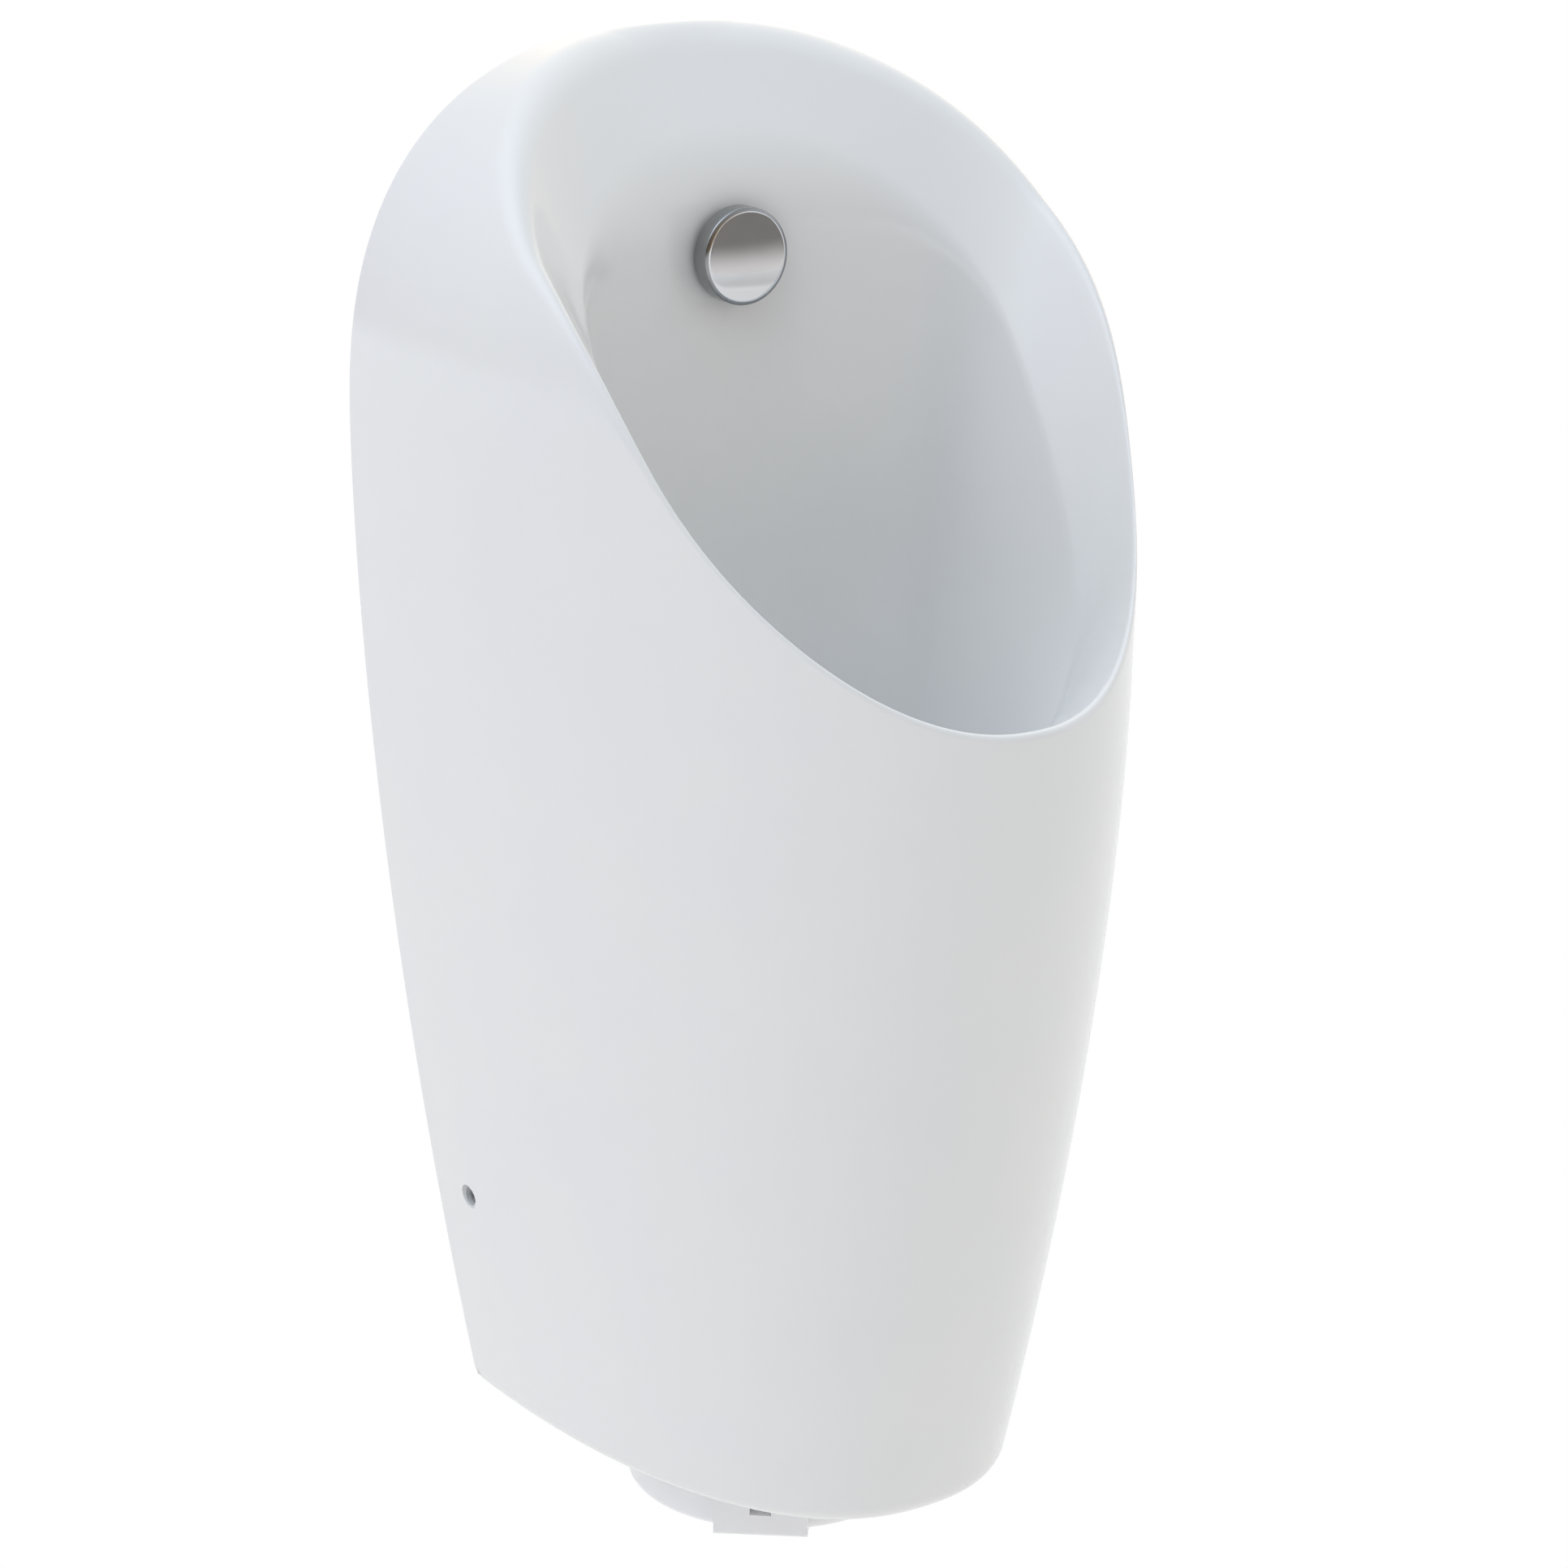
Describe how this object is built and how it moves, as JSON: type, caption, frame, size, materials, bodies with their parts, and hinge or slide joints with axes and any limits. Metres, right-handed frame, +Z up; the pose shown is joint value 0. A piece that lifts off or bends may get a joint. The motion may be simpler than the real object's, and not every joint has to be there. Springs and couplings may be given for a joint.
{
  "type": "wall hung urinal",
  "caption": "Wall hung urinal of white glazed china: tapered body with a slanted flared mouth, round chrome spray head, sensor flush valve, bayonet bottom cover and bottle trap behind",
  "frame": {"origin": "midpoint of the two upper wall fixing holes, on the wall plane", "axes": "+Z up, the wall is the plane y = 0 and the bowl is on its -Y side, +X to the right when seen from the wall side, so the viewer in front sees +X on the right"},
  "size_m": [0.3258, 0.3332, 0.6794],
  "materials": {
    "vitreous_china": "glossy white glaze",
    "zinc_plated_steel": "zinc plated",
    "chrome": "polished",
    "brass": "machined",
    "copper": "drawn tube",
    "white_plastic": "moulded",
    "grey_plastic": "moulded",
    "black_plastic": "moulded",
    "rubber": "matt",
    "stainless_steel": "turned",
    "board": "solder mask"
  },
  "bodies": {
    "urinal": {"ceramic_body": "vitreous_china", "wall_plate": "zinc_plated_steel", "hanger_pads": "rubber", "side_brackets": "grey_plastic", "side_sleeves": "grey_plastic", "side_screws": "stainless_steel", "spray_seal": "rubber", "spray_body": "brass", "spray_cap": "chrome", "spray_washer": "rubber", "spray_nut": "brass", "spray_elbow": "brass", "flush_pipe": "copper", "pipe_nuts": "brass", "valve_body": "brass", "valve_coil": "black_plastic", "valve_spring": "stainless_steel", "valve_clamp": "grey_plastic", "stop_valve_body": "brass", "inlet_nut": "brass", "inlet_filter": "stainless_steel", "control_base": "black_plastic", "control_lid": "black_plastic", "circuit_board": "board", "battery_pack": "black_plastic", "sensor_module": "black_plastic", "trap_housing": "white_plastic", "outlet_seal": "rubber", "trap_insert": "white_plastic", "waste_pipe": "grey_plastic", "waste_seal": "rubber", "wall_sleeve": "rubber"},
    "cover": {"bottom_cover": "white_plastic", "cover_ring": "rubber"},
    "stop": {"stop_ball": "chrome", "stop_spindle": "stainless_steel", "stop_lever": "stainless_steel", "lever_screw": "stainless_steel"},
    "plunger": {"armature": "stainless_steel", "armature_tip": "rubber"}
  },
  "joints": [
    {"name": "cover_turn", "type": "hinge", "parent": "urinal", "child": "cover", "pos_m": [0, -0.097, -0.515], "axis": [0, 0, 1], "range_deg": [0, 35]},
    {"name": "stop_turn", "type": "hinge", "parent": "urinal", "child": "stop", "pos_m": [0.0365, -0.025, -0.165], "axis": [-1, 0, 0], "range_deg": [0, 90]},
    {"name": "armature_lift", "type": "slide", "parent": "urinal", "child": "plunger", "axis": [0, 0, 1], "range_m": [0, 0.0025], "stiffness_N_per_m": 400, "springref_m": -0.003, "deforming": ["valve_spring"]}
  ]
}
